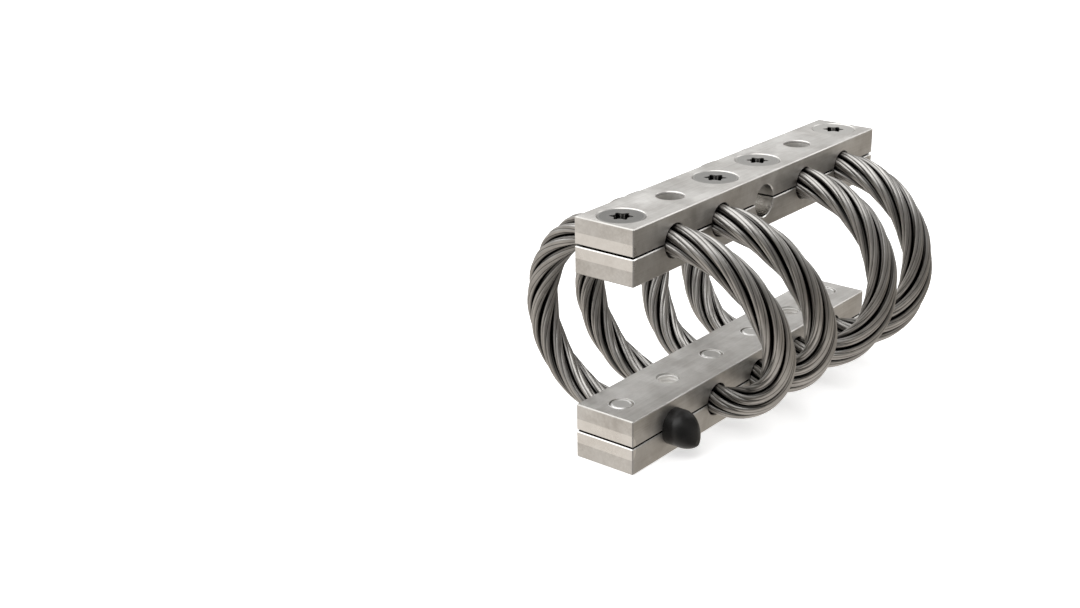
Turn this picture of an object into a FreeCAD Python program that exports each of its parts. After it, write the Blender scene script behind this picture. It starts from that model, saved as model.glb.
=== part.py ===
import FreeCAD, Part
import math
import os
import Sketcher

# Wire rope isolator, millimetres, +Z up.
# Two clamp bars lie one above the other. Each bar is a pair of aluminium plates, split along the
# middle of its rope bores and held together by four countersunk screws. One wire rope runs from a
# capped end through every bore in turn and springs the upper bar on eight loops, four on each side.
# The origin is at the middle of the lower bar's underside, and the bars run along X.

SIZES = [
    ("end_margin", 6.75),
    ("bar_width", 17),
    ("plate_thickness", 6.8),
    ("plate_gap", 0.4),
    ("edge_chamfer", 0.25),
    ("bar_spacing", 47.5),
    ("hole_pitch", 19.3),
    ("rope_diameter", 8),
    ("bore_clearance", 0.15),
    ("mouth_chamfer", 0.2),
    ("leaning_reach", 22.5),
    ("rope_stub", 3),
    ("cap_fit", 0.05),
    ("cap_wall", 0.57),
    ("cap_shoulder", 2.4),
    ("cap_length", 7.3),
    ("cap_droop", 2.5),
    ("thread_diameter", 6),
    ("thread_minor", 5),
    ("thread_fit", 0.05),
    ("screw_clearance", 6.6),
    ("sink_diameter", 12),
    ("head_diameter", 11.3),
    ("head_land", 0.2),
    ("screw_length", 13.8),
    ("tip_chamfer", 0.5),
    ("socket_width", 5.6),
    ("socket_waist", 3.95),
    ("socket_lobe", 0.46),
    ("socket_depth", 2.2),
    ("mount_sink", 7.4),
]

# Columns of vertical holes and of rope bores, in hole pitches from the middle of a bar.
SCREW_COLUMNS = (-2.5, -0.5, 0.5, 2.5)
MOUNT_COLUMNS = (-1.5, 1.5)
BORE_COUNT = 5
FIRST_BORE = -2

# The rope's passes through the bars, in order. The upper bar's middle bore stays empty.
LOWER = "lower"
UPPER = "upper"
ROPE_PASSES = (
    (LOWER, -2), (UPPER, -2), (LOWER, -1), (UPPER, -1), (LOWER, 0),
    (UPPER, 1), (LOWER, 1), (UPPER, 2), (LOWER, 2),
)

RIGHT = -1
LEFT = 1
LOBES = 6
NOSE_ANGLES = (0, 25, 45, 62, 76)
NOSE_TAPER = 1.2
NOSE_SAG = 0.75
COUNTERSINK_ANGLE = 90
QUARTER_TURN = 90
HALF_TURN = 180
FULL_TURN = 360
TOUCHING = 1e-6
CUTTING_FEATURES = ("PartDesign::Pocket", "PartDesign::Hole", "PartDesign::Chamfer")
X_AXIS = FreeCAD.Vector(1, 0, 0)
Y_AXIS = FreeCAD.Vector(0, 1, 0)
Z_AXIS = FreeCAD.Vector(0, 0, 1)

doc = FreeCAD.newDocument("wire_rope_isolator")
sheet = doc.addObject("Spreadsheet::Sheet", "sizes")
for row, (alias, value) in enumerate(SIZES, start=1):
    sheet.set("A%d" % row, alias)
    sheet.set("B%d" % row, str(value))
    sheet.setAlias("B%d" % row, alias)
doc.recompute()


def size(alias):
    """A driving dimension, as a number."""
    return float(sheet.get(alias))


# Formulas of the sheet's cells that several pieces share.
LOWER_SPLIT = "(sizes.plate_thickness + sizes.plate_gap / 2)"
SPLIT_FORMULA = {LOWER: LOWER_SPLIT, UPPER: "(%s + sizes.bar_spacing)" % LOWER_SPLIT}
CAP_RADIUS = "sizes.rope_diameter / 2 + sizes.cap_fit + sizes.cap_wall"


def split_height(bar):
    """Height of a bar's split plane, as a number."""
    lower = size("plate_thickness") + size("plate_gap") / 2
    return lower + (size("bar_spacing") if bar == UPPER else 0)


def new_body(name):
    """A body with the name of its sub-part."""
    body = doc.addObject("PartDesign::Body", name)
    body.Label = name
    return body


def new_sketch(body, name, plane, lift=None):
    """A sketch on one of the body's origin planes, lifted along the plane's normal by a formula."""
    sketch = body.newObject("Sketcher::SketchObject", name)
    origin_plane = [item for item in body.Origin.OriginFeatures if item.Role == plane][0]
    sketch.AttachmentSupport = [(origin_plane, "")]
    sketch.MapMode = "FlatFace"
    if lift:
        sketch.setExpression("AttachmentOffset.Base.z", lift)
    return sketch


def bind(sketch, constraint, formula):
    """Adds a constraint and ties its value to the sheet."""
    index = sketch.addConstraint(constraint)
    sketch.setExpression("Constraints[%d]" % index, formula)


def add_loop(sketch, points):
    """Closed chain of straight lines through the points. Returns the index of the first line."""
    first = sketch.GeometryCount
    count = len(points)
    for start, end in zip(points, points[1:] + points[:1]):
        sketch.addGeometry(Part.LineSegment(FreeCAD.Vector(*start, 0), FreeCAD.Vector(*end, 0)))
    for step in range(count):
        following = first + (step + 1) % count
        sketch.addConstraint(Sketcher.Constraint("Coincident", first + step, 2, following, 1))
    return first


def add_circle(sketch, column, radius, radius_formula):
    """Circle on the sketch's X axis, at a column of the hole pitch, with its radius tied."""
    centre = FreeCAD.Vector(column * size("hole_pitch"), 0, 0)
    circle = sketch.addGeometry(Part.Circle(centre, Z_AXIS, radius))
    sketch.addConstraint(Sketcher.Constraint("PointOnObject", circle, 3, -1))
    reach = abs(centre.x)
    if column < 0:
        place = Sketcher.Constraint("DistanceX", circle, 3, -1, 1, reach)
    else:
        place = Sketcher.Constraint("DistanceX", -1, 1, circle, 3, reach)
    bind(sketch, place, "%s * sizes.hole_pitch" % abs(column))
    bind(sketch, Sketcher.Constraint("Radius", circle, radius), radius_formula)


def all_edges(shape):
    """Names of every edge of a plain block."""
    return ["Edge%d" % number for number in range(1, len(shape.Edges) + 1)]


def bore_mouth_edges(shape):
    """Names of the arcs where the rope bores break out of a plate's long sides."""
    names = []
    for number, edge in enumerate(shape.Edges, start=1):
        box = edge.BoundBox
        on_side = box.YLength < TOUCHING and abs(abs(box.YMin) - size("bar_width") / 2) < TOUCHING
        if on_side and edge.Curve.TypeId == "Part::GeomCircle":
            names.append("Edge%d" % number)
    return names


def chamfer(body, name, base, edges, formula):
    """Chamfer of one size along the named edges of the base feature."""
    feature = body.newObject("PartDesign::Chamfer", name)
    feature.Base = (base, edges)
    feature.setExpression("Size", formula)
    doc.recompute()
    return feature


def drill(body, name, columns, diameter, formula, sink=None):
    """Through holes from the plate's outward face, with a countersink if one is given."""
    sketch = new_sketch(body, name + "_centres", "XY_Plane", "sizes.plate_thickness")
    for column in columns:
        add_circle(sketch, column, diameter / 2, "(%s) / 2" % formula)
    doc.recompute()
    hole = body.newObject("PartDesign::Hole", name)
    hole.Profile = sketch
    doc.recompute()
    hole.DepthType = "ThroughAll"
    hole.setExpression("Diameter", formula)
    if sink:
        hole.HoleCutType = "Countersink"
        hole.HoleCutCustomValues = True
        hole.HoleCutCountersinkAngle = COUNTERSINK_ANGLE
        hole.setExpression("HoleCutDiameter", "sizes.%s" % sink)
    doc.recompute()


def plate_blank(body, name):
    """Flat bar stock with its edges broken. The split face is at z = 0.

    The bar reaches past its end screws by the end margin, so it follows the hole pitch.
    """
    long_half = SCREW_COLUMNS[-1] * size("hole_pitch") + size("end_margin")
    wide_half = size("bar_width") / 2
    outline = new_sketch(body, name + "_outline", "XY_Plane")
    first = add_loop(outline, [
        (-long_half, -wide_half), (long_half, -wide_half), (long_half, wide_half), (-long_half, wide_half),
    ])
    for line in (first, first + 2):
        outline.addConstraint(Sketcher.Constraint("Horizontal", line))
    for line in (first + 1, first + 3):
        outline.addConstraint(Sketcher.Constraint("Vertical", line))
    outline.addConstraint(Sketcher.Constraint("Symmetric", first, 1, first + 2, 1, -1, 1))
    length = Sketcher.Constraint("DistanceX", first, 1, first, 2, 2 * long_half)
    bind(outline, length, "2 * (%s * sizes.hole_pitch + sizes.end_margin)" % SCREW_COLUMNS[-1])
    width = Sketcher.Constraint("DistanceY", first + 1, 1, first + 1, 2, 2 * wide_half)
    bind(outline, width, "sizes.bar_width")
    blank = body.newObject("PartDesign::Pad", name + "_blank")
    blank.Profile = outline
    blank.setExpression("Length", "sizes.plate_thickness")
    doc.recompute()
    chamfer(body, name + "_edges", blank, all_edges(blank.Shape), "sizes.edge_chamfer")


def cut_bores(body, name):
    """Half bores for the rope. Their axes lie in the middle of the gap, below the split face."""
    sketch = new_sketch(body, name + "_bore", "XZ_Plane")
    radius = size("rope_diameter") / 2 + size("bore_clearance")
    gap_half = size("plate_gap") / 2
    centre = FreeCAD.Vector(FIRST_BORE * size("hole_pitch"), -gap_half, 0)
    circle = sketch.addGeometry(Part.Circle(centre, Z_AXIS, radius))
    across = Sketcher.Constraint("DistanceX", circle, 3, -1, 1, -centre.x)
    bind(sketch, across, "%d * sizes.hole_pitch" % -FIRST_BORE)
    below = Sketcher.Constraint("DistanceY", circle, 3, -1, 1, gap_half)
    bind(sketch, below, "sizes.plate_gap / 2")
    round_bore = Sketcher.Constraint("Radius", circle, radius)
    bind(sketch, round_bore, "sizes.rope_diameter / 2 + sizes.bore_clearance")
    bore = body.newObject("PartDesign::Pocket", name + "_first_bore")
    bore.Profile = sketch
    bore.Type = "ThroughAll"
    bore.Midplane = True
    doc.recompute()
    bores = body.newObject("PartDesign::LinearPattern", name + "_bores")
    bores.Originals = [bore]
    bores.Direction = (sketch, ["H_Axis"])
    bores.Occurrences = BORE_COUNT
    bores.setExpression("Length", "%d * sizes.hole_pitch" % (BORE_COUNT - 1))
    body.Tip = bores
    doc.recompute()
    chamfer(body, name + "_bore_mouths", bores, bore_mouth_edges(bores.Shape), "sizes.mouth_chamfer")


def place_plate(body, bar, facing):
    """Sets a plate on its bar's split plane, with its outward face up (1) or down (-1)."""
    turn = 0 if facing > 0 else HALF_TURN
    body.Placement = FreeCAD.Placement(FreeCAD.Vector(), FreeCAD.Rotation(X_AXIS, turn))
    body.setExpression("Placement.Base.z", "%s + %d * sizes.plate_gap / 2" % (SPLIT_FORMULA[bar], facing))


def outer_plate(bar, facing):
    """Plate that carries the screw heads and the clear mounting holes."""
    name = bar + "_outer_plate"
    body = new_body(name)
    plate_blank(body, name)
    cut_bores(body, name)
    clear = size("screw_clearance")
    drill(body, name + "_screw_holes", SCREW_COLUMNS, clear, "sizes.screw_clearance", "sink_diameter")
    drill(body, name + "_mount_holes", MOUNT_COLUMNS, clear, "sizes.screw_clearance", "mount_sink")
    place_plate(body, bar, facing)
    return body


def inner_plate(bar, facing):
    """Plate that the screws are threaded into, with the threaded mounting holes."""
    name = bar + "_inner_plate"
    body = new_body(name)
    plate_blank(body, name)
    cut_bores(body, name)
    threaded = size("thread_diameter") + 2 * size("thread_fit")
    thread_hole = "sizes.thread_diameter + 2 * sizes.thread_fit"
    drill(body, name + "_screw_holes", SCREW_COLUMNS, threaded, thread_hole)
    minor = size("thread_minor")
    drill(body, name + "_mount_holes", MOUNT_COLUMNS, minor, "sizes.thread_minor", "thread_diameter")
    place_plate(body, bar, facing)
    return body


def screw_section(sketch):
    """Half section of a countersunk screw, from the middle of its head's face at the origin."""
    head = size("head_diameter") / 2
    shank = size("thread_diameter") / 2
    land = size("head_land")
    chamfered = size("tip_chamfer")
    long = size("screw_length")
    corners = [
        (0, 0), (head, 0), (head, -land), (shank, shank - head - land), (shank, chamfered - long),
        (shank - chamfered, -long), (0, -long),
    ]
    first = add_loop(sketch, corners)
    top, rim, cone, side, tip, end, axis = range(first, first + len(corners))
    sketch.addConstraint(Sketcher.Constraint("Coincident", top, 1, -1, 1))
    for line in (top, end):
        sketch.addConstraint(Sketcher.Constraint("Horizontal", line))
    for line in (rim, side, axis):
        sketch.addConstraint(Sketcher.Constraint("Vertical", line))
    bind(sketch, Sketcher.Constraint("DistanceX", top, 1, top, 2, head), "sizes.head_diameter / 2")
    bind(sketch, Sketcher.Constraint("DistanceY", rim, 2, rim, 1, land), "sizes.head_land")
    reach = Sketcher.Constraint("DistanceX", -1, 1, side, 1, shank)
    bind(sketch, reach, "sizes.thread_diameter / 2")
    slope = Sketcher.Constraint("DistanceY", cone, 2, cone, 1, head - shank)
    bind(sketch, slope, "(sizes.head_diameter - sizes.thread_diameter) / 2")
    bind(sketch, Sketcher.Constraint("DistanceY", end, 2, -1, 1, long), "sizes.screw_length")
    bind(sketch, Sketcher.Constraint("DistanceX", tip, 2, tip, 1, chamfered), "sizes.tip_chamfer")
    bind(sketch, Sketcher.Constraint("DistanceY", tip, 2, tip, 1, chamfered), "sizes.tip_chamfer")


def polar(radius, angle):
    """Point in a sketch at a distance and an angle in degrees from its origin."""
    turn = math.radians(angle)
    return FreeCAD.Vector(radius * math.cos(turn), radius * math.sin(turn), 0)


def add_socket(sketch):
    """Six-lobed drive socket: six lobe arcs and six waist arcs, each tangent to the next.

    The waist arcs' radius follows from the tangency: the distance between the centres of a lobe
    and a waist arc beside it is the sum of their radii.
    """
    pitch = FULL_TURN / LOBES
    lobe = size("socket_lobe")
    outer = size("socket_width") / 2
    inner = size("socket_waist") / 2
    lobe_reach = outer - lobe
    lean = 2 * lobe_reach * math.cos(math.radians(pitch / 2))
    waist = (lobe ** 2 - lobe_reach ** 2 - inner ** 2 + lean * inner) / (2 * inner - lean - 2 * lobe)
    joints = []
    for number in range(LOBES):
        centre = polar(lobe_reach, number * pitch)
        for side in (-1, 1):
            towards = polar(inner + waist, (number + side / 2) * pitch) - centre
            joints.append(centre + towards.normalize() * lobe)
    for number in range(LOBES):
        start, end, following = (joints[(2 * number + step) % len(joints)] for step in range(3))
        sketch.addGeometry(Part.Arc(start, polar(outer, number * pitch), end))
        sketch.addGeometry(Part.Arc(end, polar(inner, (number + 1 / 2) * pitch), following))


def clamp_screw(name, bar, column, facing):
    """Countersunk screw with a six-lobed socket. Its cone seats in the outer plate's countersink."""
    body = new_body(name)
    section = new_sketch(body, name + "_section", "XZ_Plane")
    screw_section(section)
    turned = body.newObject("PartDesign::Revolution", name + "_turned")
    turned.Profile = section
    turned.ReferenceAxis = (section, ["V_Axis"])
    doc.recompute()
    drive = new_sketch(body, name + "_drive", "XY_Plane")
    add_socket(drive)
    socket = body.newObject("PartDesign::Pocket", name + "_socket")
    socket.Profile = drive
    socket.setExpression("Length", "sizes.socket_depth")
    doc.recompute()
    turn = 0 if facing > 0 else HALF_TURN
    body.Placement = FreeCAD.Placement(FreeCAD.Vector(), FreeCAD.Rotation(X_AXIS, turn))
    body.setExpression("Placement.Base.x", "%s * sizes.hole_pitch" % column)
    face = "sizes.plate_thickness + sizes.plate_gap / 2"
    sunk = "((sizes.sink_diameter - sizes.head_diameter) / 2 - sizes.head_land)"
    body.setExpression("Placement.Base.z", "%s + %d * (%s - %s)" % (SPLIT_FORMULA[bar], facing, face, sunk))
    return body


def cap_ring(body, name, angle):
    """Round section of the cap's nose. The angle runs from the shoulder (0) towards the tip.

    The nose is a dome whose sections shrink and sag towards the tip, so it stays nearly flat below.
    """
    turn = math.radians(angle)
    last = math.radians(NOSE_ANGLES[-1])
    along = math.sin(turn) / math.sin(last)
    sag = ((1 - math.cos(turn)) / (1 - math.cos(last))) ** NOSE_SAG
    narrowed = math.cos(turn) ** NOSE_TAPER
    ring = new_sketch(body, "%s_ring_%d" % (name, angle), "XZ_Plane")
    ring.setExpression(
        "AttachmentOffset.Base.z",
        "sizes.cap_shoulder + (sizes.cap_length - sizes.cap_shoulder) * %.6f" % along)
    ring.setExpression("AttachmentOffset.Base.y", "-sizes.cap_droop * %.6f" % sag)
    radius = (size("rope_diameter") / 2 + size("cap_fit") + size("cap_wall")) * narrowed
    circle = ring.addGeometry(Part.Circle(FreeCAD.Vector(), Z_AXIS, radius))
    ring.addConstraint(Sketcher.Constraint("Coincident", circle, 3, -1, 1))
    bind(ring, Sketcher.Constraint("Radius", circle, radius), "(%s) * %.6f" % (CAP_RADIUS, narrowed))
    return ring


def end_cap(name, column, side):
    """Rubber cap pushed over a rope end, seated on the bar's side, with a drooping round nose."""
    body = new_body(name)
    base = new_sketch(body, name + "_base", "XZ_Plane")
    outer = size("rope_diameter") / 2 + size("cap_fit") + size("cap_wall")
    circle = base.addGeometry(Part.Circle(FreeCAD.Vector(), Z_AXIS, outer))
    base.addConstraint(Sketcher.Constraint("Coincident", circle, 3, -1, 1))
    bind(base, Sketcher.Constraint("Radius", circle, outer), CAP_RADIUS)
    sleeve = body.newObject("PartDesign::Pad", name + "_sleeve")
    sleeve.Profile = base
    sleeve.setExpression("Length", "sizes.cap_shoulder")
    rings = [cap_ring(body, name, angle) for angle in NOSE_ANGLES]
    doc.recompute()
    nose = body.newObject("PartDesign::AdditiveLoft", name + "_nose")
    nose.Profile = rings[0]
    nose.Sections = rings[1:]
    doc.recompute()
    bore = new_sketch(body, name + "_bore", "XZ_Plane")
    inner = size("rope_diameter") / 2 + size("cap_fit")
    circle = bore.addGeometry(Part.Circle(FreeCAD.Vector(), Z_AXIS, inner))
    bore.addConstraint(Sketcher.Constraint("Coincident", circle, 3, -1, 1))
    bind(bore, Sketcher.Constraint("Radius", circle, inner), "sizes.rope_diameter / 2 + sizes.cap_fit")
    hollow = body.newObject("PartDesign::Pocket", name + "_hollow")
    hollow.Profile = bore
    hollow.Reversed = True
    hollow.setExpression("Length", "sizes.rope_stub")
    doc.recompute()
    turn = 0 if side == RIGHT else HALF_TURN
    body.Placement = FreeCAD.Placement(FreeCAD.Vector(), FreeCAD.Rotation(Z_AXIS, turn))
    body.setExpression("Placement.Base.x", "%d * sizes.hole_pitch" % column)
    body.setExpression("Placement.Base.y", "%d * sizes.bar_width / 2" % side)
    body.setExpression("Placement.Base.z", SPLIT_FORMULA[LOWER])
    return body


def leaning_loop(end, landing, side):
    """Loop between two bores that aren't above each other: two corner arcs and a wider crest.

    It spans more than the bars' spacing but reaches less far out than a half circle would. Both
    corners turn 45 degrees and the crest turns 90, which settles the two radii.
    """
    middle = (end + landing) / 2
    half_span = (landing - end).Length / 2
    along = (landing - end).normalize()
    out = Y_AXIS * side
    reach = size("leaning_reach")
    spread = (half_span - reach) / (math.sqrt(2) - 1)
    corner = (half_span + reach - spread) / 2
    print("corner radius %.2f mm, crest radius %.2f mm" % (corner, corner + spread))

    def corner_point(direction, turn):
        across = half_span - corner + corner * math.cos(math.radians(turn))
        return middle + along * (direction * across) + out * (corner * math.sin(math.radians(turn)))

    first, last = (corner_point(direction, QUARTER_TURN / 2) for direction in (-1, 1))
    return [
        Part.Arc(end, corner_point(-1, QUARTER_TURN / 4), first).toShape(),
        Part.Arc(first, middle + out * reach, last).toShape(),
        Part.Arc(last, corner_point(1, QUARTER_TURN / 4), landing).toShape(),
    ]


def rope_route():
    """Centre line of the rope: a straight run through each bore and a loop to the next bore."""
    edges = []
    side = RIGHT
    last = len(ROPE_PASSES) - 1
    for number, (bar, column) in enumerate(ROPE_PASSES):
        reach = size("bar_width") / 2
        start_reach = reach + (size("rope_stub") if number == 0 else 0)
        end_reach = reach + (size("rope_stub") if number == last else 0)
        across = column * size("hole_pitch")
        start = FreeCAD.Vector(across, side * start_reach, split_height(bar))
        end = FreeCAD.Vector(across, -side * end_reach, split_height(bar))
        edges.append(Part.LineSegment(start, end).toShape())
        side = -side
        if number < last:
            next_bar, next_column = ROPE_PASSES[number + 1]
            landing = FreeCAD.Vector(next_column * size("hole_pitch"), end.y, split_height(next_bar))
            if next_column == column:
                radius = (landing - end).Length / 2
                crown = (end + landing) / 2 + Y_AXIS * (side * radius)
                edges.append(Part.Arc(end, crown, landing).toShape())
            else:
                edges.extend(leaning_loop(end, landing, side))
    return Part.Wire(edges)


def wire_rope(name):
    """The rope as one round tube along its route. It starts at the right end of the lower bar."""
    route = doc.addObject("Part::Feature", name + "_route")
    route.Shape = rope_route()
    section = doc.addObject("Part::Circle", name + "_section")
    section.setExpression("Radius", "sizes.rope_diameter / 2")
    section.Placement.Rotation = FreeCAD.Rotation(X_AXIS, QUARTER_TURN)
    section.setExpression("Placement.Base.x", "%d * sizes.hole_pitch" % ROPE_PASSES[0][1])
    section.setExpression("Placement.Base.y", "%d * (sizes.bar_width / 2 + sizes.rope_stub)" % RIGHT)
    section.setExpression("Placement.Base.z", SPLIT_FORMULA[LOWER])
    rope = doc.addObject("Part::Sweep", name)
    rope.Label = name
    rope.Sections = [section]
    rope.Spine = (route, [])
    rope.Solid = True
    doc.recompute()
    expected = math.pi * size("rope_diameter") ** 2 / 4 * route.Shape.Length
    print("rope length %.1f mm, volume %.1f of %.1f mm3" % (route.Shape.Length, rope.Shape.Volume, expected))
    return rope


subparts = []
for bar, facing in ((LOWER, -1), (UPPER, 1)):
    subparts.append(outer_plate(bar, facing))
    subparts.append(inner_plate(bar, -facing))
    for number, column in enumerate(SCREW_COLUMNS, start=1):
        subparts.append(clamp_screw("%s_screw_%d" % (bar, number), bar, column, facing))
subparts.append(wire_rope("wire_rope"))
subparts.append(end_cap("start_cap", ROPE_PASSES[0][1], RIGHT))
subparts.append(end_cap("finish_cap", ROPE_PASSES[-1][1], LEFT))

doc.recompute()
failed = [item.Name for item in doc.Objects if "Invalid" in item.State or "Error" in item.State]
for item in doc.Objects:
    if item.TypeId in CUTTING_FEATURES and item.Shape.Volume >= item.BaseFeature.Shape.Volume:
        failed.append(item.Name + " removes nothing")
for subpart in subparts:
    shape = subpart.Shape
    if shape.isNull() or not shape.isValid() or len(shape.Solids) != 1:
        failed.append(subpart.Label)
if failed:
    raise RuntimeError("These failed: " + ", ".join(failed))

os.makedirs("parts", exist_ok=True)
for subpart in subparts:
    subpart.Shape.exportStep("parts/%s.step" % subpart.Label)
    print("%-20s %9.1f mm3, %d faces" % (subpart.Label, subpart.Shape.Volume, len(subpart.Shape.Faces)))
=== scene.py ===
# %% [markdown]
# # A wire rope isolator, dressed for its picture
#
# The real object is a mount that keeps shaking and shocks away from a machine. Two short aluminium
# bars lie one above the other, and one steel wire rope runs to and fro through both of them. Its
# eight loops are the springs: four bulge out on each side, and the upper bar rides on them.
#
# The plates, screws and rubber caps come from the CAD model with their true shapes, so they are not
# built again here. They get materials. The rope is a plain round tube in CAD, because nobody
# machines a rope. Here it is laid from six strands round a core, as a rope maker would do it.

import math

import bmesh
import bpy
from mathutils import Matrix, Vector


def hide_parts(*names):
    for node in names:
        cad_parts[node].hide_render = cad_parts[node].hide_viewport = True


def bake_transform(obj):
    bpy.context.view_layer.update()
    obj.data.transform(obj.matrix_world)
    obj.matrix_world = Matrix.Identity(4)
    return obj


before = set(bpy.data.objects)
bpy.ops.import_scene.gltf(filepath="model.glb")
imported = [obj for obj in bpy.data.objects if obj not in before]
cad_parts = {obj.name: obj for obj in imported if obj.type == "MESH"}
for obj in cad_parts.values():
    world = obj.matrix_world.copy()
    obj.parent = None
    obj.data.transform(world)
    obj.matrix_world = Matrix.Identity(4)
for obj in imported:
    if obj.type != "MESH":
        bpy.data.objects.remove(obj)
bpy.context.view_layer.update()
print("nodes:", ", ".join(sorted(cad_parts)))

# %% [markdown]
# ## Stand where the photographer stood
#
# A camera can be turned with angles, but the three directions of its own axes are easier to check:
# which way is right in the picture, which way is up, and which way looks back at the photographer.
# They were found by fitting a camera to the bars' corners and holes. The matrix takes the three
# directions as its columns, and the eye as its last one.

# %% Camera
EYE = Vector((-0.3148, -0.2011, 0.1691))
PICTURE_UP = Vector((0.2883, 0.2178, 0.9324))
VIEW_BACK = Vector((-0.7112, -0.6033, 0.3608))
LENS = 50.8
SENSOR_WIDTH = 36.0
MOUNT_MIDDLE = Vector((0, 0, 0.031))

back = VIEW_BACK.normalized()
right = PICTURE_UP.cross(back).normalized()
up = back.cross(right)
camera_data = bpy.data.cameras.new("photo_camera")
camera_data.lens = LENS
camera_data.sensor_fit = "HORIZONTAL"
camera_data.sensor_width = SENSOR_WIDTH
camera_data.clip_start = 0.01
camera = bpy.data.objects.new("photo_camera", camera_data)
camera.matrix_world = Matrix.Translation(EYE) @ Matrix((right, up, back)).transposed().to_4x4()
bpy.context.scene.collection.objects.link(camera)
bpy.context.scene.camera = camera
print("camera %.3f m from the middle of the mount" % (EYE - MOUNT_MIDDLE).length)

# %% [markdown]
# ## The rope's path
#
# The rope enters at the near end of the lower bar and is threaded like a shoelace: through the
# lower bar, up round a loop, through the upper bar, down round a loop, and so on. Five bores in each
# bar are 19.3 mm apart. The upper bar's middle bore stays empty, so the loops lean one way in one
# half and the other way in the other half.
#
# The path could be typed in as points. It is walked instead: a section plane sits at the rope's
# start, and each step either pushes it straight on or turns it about the centre of a bend. The plane
# is a 4 x 4 matrix, and its own Z axis always points along the rope. A plane that is only pushed
# and turned never spins about the rope, and that matters later, when the strands are twisted
# round it by a known amount.

# %% The bars' bores
PITCH = 0.0193
BAR_WIDTH = 0.017
LOWER_SPLIT = 0.0070
UPPER_SPLIT = 0.0545
ROPE_STUB = 0.003
SPLIT = {"lower": LOWER_SPLIT, "upper": UPPER_SPLIT}
PASSES = (
    ("lower", -2), ("upper", -2), ("lower", -1), ("upper", -1), ("lower", 0),
    ("upper", 1), ("lower", 1), ("upper", 2), ("lower", 2),
)
LEANING_REACH = 0.0225
STEP = 0.0011


def bore_middle(bar, column):
    """The middle of a bore's length."""
    return Vector((column * PITCH, 0, SPLIT[bar]))


# %% Walking along the rope
class RopeWalk:
    """A section plane that walks along the rope and keeps every place where it stopped."""

    def __init__(self, start, heading):
        across = Vector((1, 0, 0))
        axes = Matrix((across, heading.cross(across), heading)).transposed()
        self.plane = Matrix.Translation(start) @ axes.to_4x4()
        self.planes = [self.plane.copy()]
        self.lengths = [0.0]

    def keep(self, step):
        self.planes.append(self.plane.copy())
        self.lengths.append(self.lengths[-1] + step)

    def run(self, length):
        """Straight on."""
        count = max(1, round(length / STEP))
        push = Matrix.Translation(self.plane.col[2].to_3d() * (length / count))
        for _ in range(count):
            self.plane = push @ self.plane
            self.keep(length / count)

    def bend(self, radius, degrees, inside):
        """Round a bend, whose centre is on the side of the point inside."""
        length = radius * math.radians(degrees)
        count = max(1, round(length / STEP))
        here = self.plane.col[3].to_3d()
        heading = self.plane.col[2].to_3d()
        aim = inside - here
        inward = (aim - heading * aim.dot(heading)).normalized()
        pivot = Matrix.Translation(here + inward * radius)
        turn = Matrix.Rotation(math.radians(degrees) / count, 4, heading.cross(inward))
        for _ in range(count):
            self.plane = pivot @ turn @ pivot.inverted() @ self.plane
            self.keep(length / count)


# %% [markdown]
# A loop between two bores that are one above the other is half a circle. A leaning loop has to span
# more, yet the rope doesn't reach further out, so its ends turn tighter than its middle: 45 degrees
# on a small radius, 90 on a large one, and 45 on the small one again. Two equations, for the span
# and for the reach, give the two radii.


# %% Loops from bore to bore
def walk_loop(walk, bore):
    """Takes the rope round to the next bore. Returns the radii of its ends and its middle."""
    start = walk.plane.col[3].to_3d()
    landing = Vector((bore.x, start.y, bore.z))
    inside = (start + landing) / 2
    half_span = (landing - start).length / 2
    if abs(landing.x - start.x) < PITCH / 2:
        walk.bend(half_span, 180, inside)
        return half_span, half_span
    spread = (half_span - LEANING_REACH) / (math.sqrt(2) - 1)
    corner = (half_span + LEANING_REACH - spread) / 2
    walk.bend(corner, 45, inside)
    walk.bend(corner + spread, 90, inside)
    walk.bend(corner, 45, inside)
    return corner, corner + spread


entry = bore_middle(*PASSES[0]) - Vector((0, BAR_WIDTH / 2 + ROPE_STUB, 0))
walk = RopeWalk(entry, Vector((0, 1, 0)))
walk.run(ROPE_STUB)
for number, bore in enumerate(PASSES):
    walk.run(BAR_WIDTH)
    if bore != PASSES[-1]:
        radii = walk_loop(walk, bore_middle(*PASSES[number + 1]))
        print("loop %d: ends %.2f mm, middle %.2f mm" % (number + 1, radii[0] * 1000, radii[1] * 1000))
walk.run(ROPE_STUB)
finish = bore_middle(*PASSES[-1]) + Vector((0, BAR_WIDTH / 2 + ROPE_STUB, 0))
print("rope %.1f mm long, %d planes, ends %.4f mm from its mark" % (
    walk.lengths[-1] * 1000, len(walk.planes), (walk.plane.col[3].to_3d() - finish).length * 1000))

# %% [markdown]
# ## The strands
#
# A rope of this kind has six strands laid round a core, and each strand is seven wires: six round
# one. These strands were drawn through a die, which pressed their wires flat against each other, so
# a strand looks like a smooth rod with fine shallow grooves, and the deep black lines in the
# photograph are the valleys between strands.
#
# Every wire could be a tube of its own, 42 in all, but most of that would be hidden. A strand with
# a ribbed section shows the same ridges. Its section starts as a circle of 60 points, ten for each
# wire, and three things are done to it:
#
# - a point near a groove moves in a little, so each wire keeps a rounded back;
# - the two outer shoulders move out, because drawing squeezes a strand into the room that its
#   neighbours leave, and that makes the valleys between strands narrow;
# - everything is widened sideways, because the strand crosses the section plane at a slant.
#
# The wires wind slowly round their strand, so the grooves drift over its back as they do in the
# photograph, while the shoulders stay outside.

# %% One strand's section
ROPE_RADIUS = 0.004
STRANDS = 6
WIRES = 6
POINTS_PER_WIRE = 10
STRAND_RADIUS = 0.00128
STRAND_RING = ROPE_RADIUS - STRAND_RADIUS
GROOVE_DEPTH = 0.13
SHOULDER = 0.08
SHOULDER_SPAN = math.radians(120)
LAY = 0.065
WIRE_LAY = 0.26
FIRST_STRAND = 0.0
FIRST_GROOVE = math.radians(14)
SLANT = math.atan(math.tau * STRAND_RING / LAY)


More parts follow.
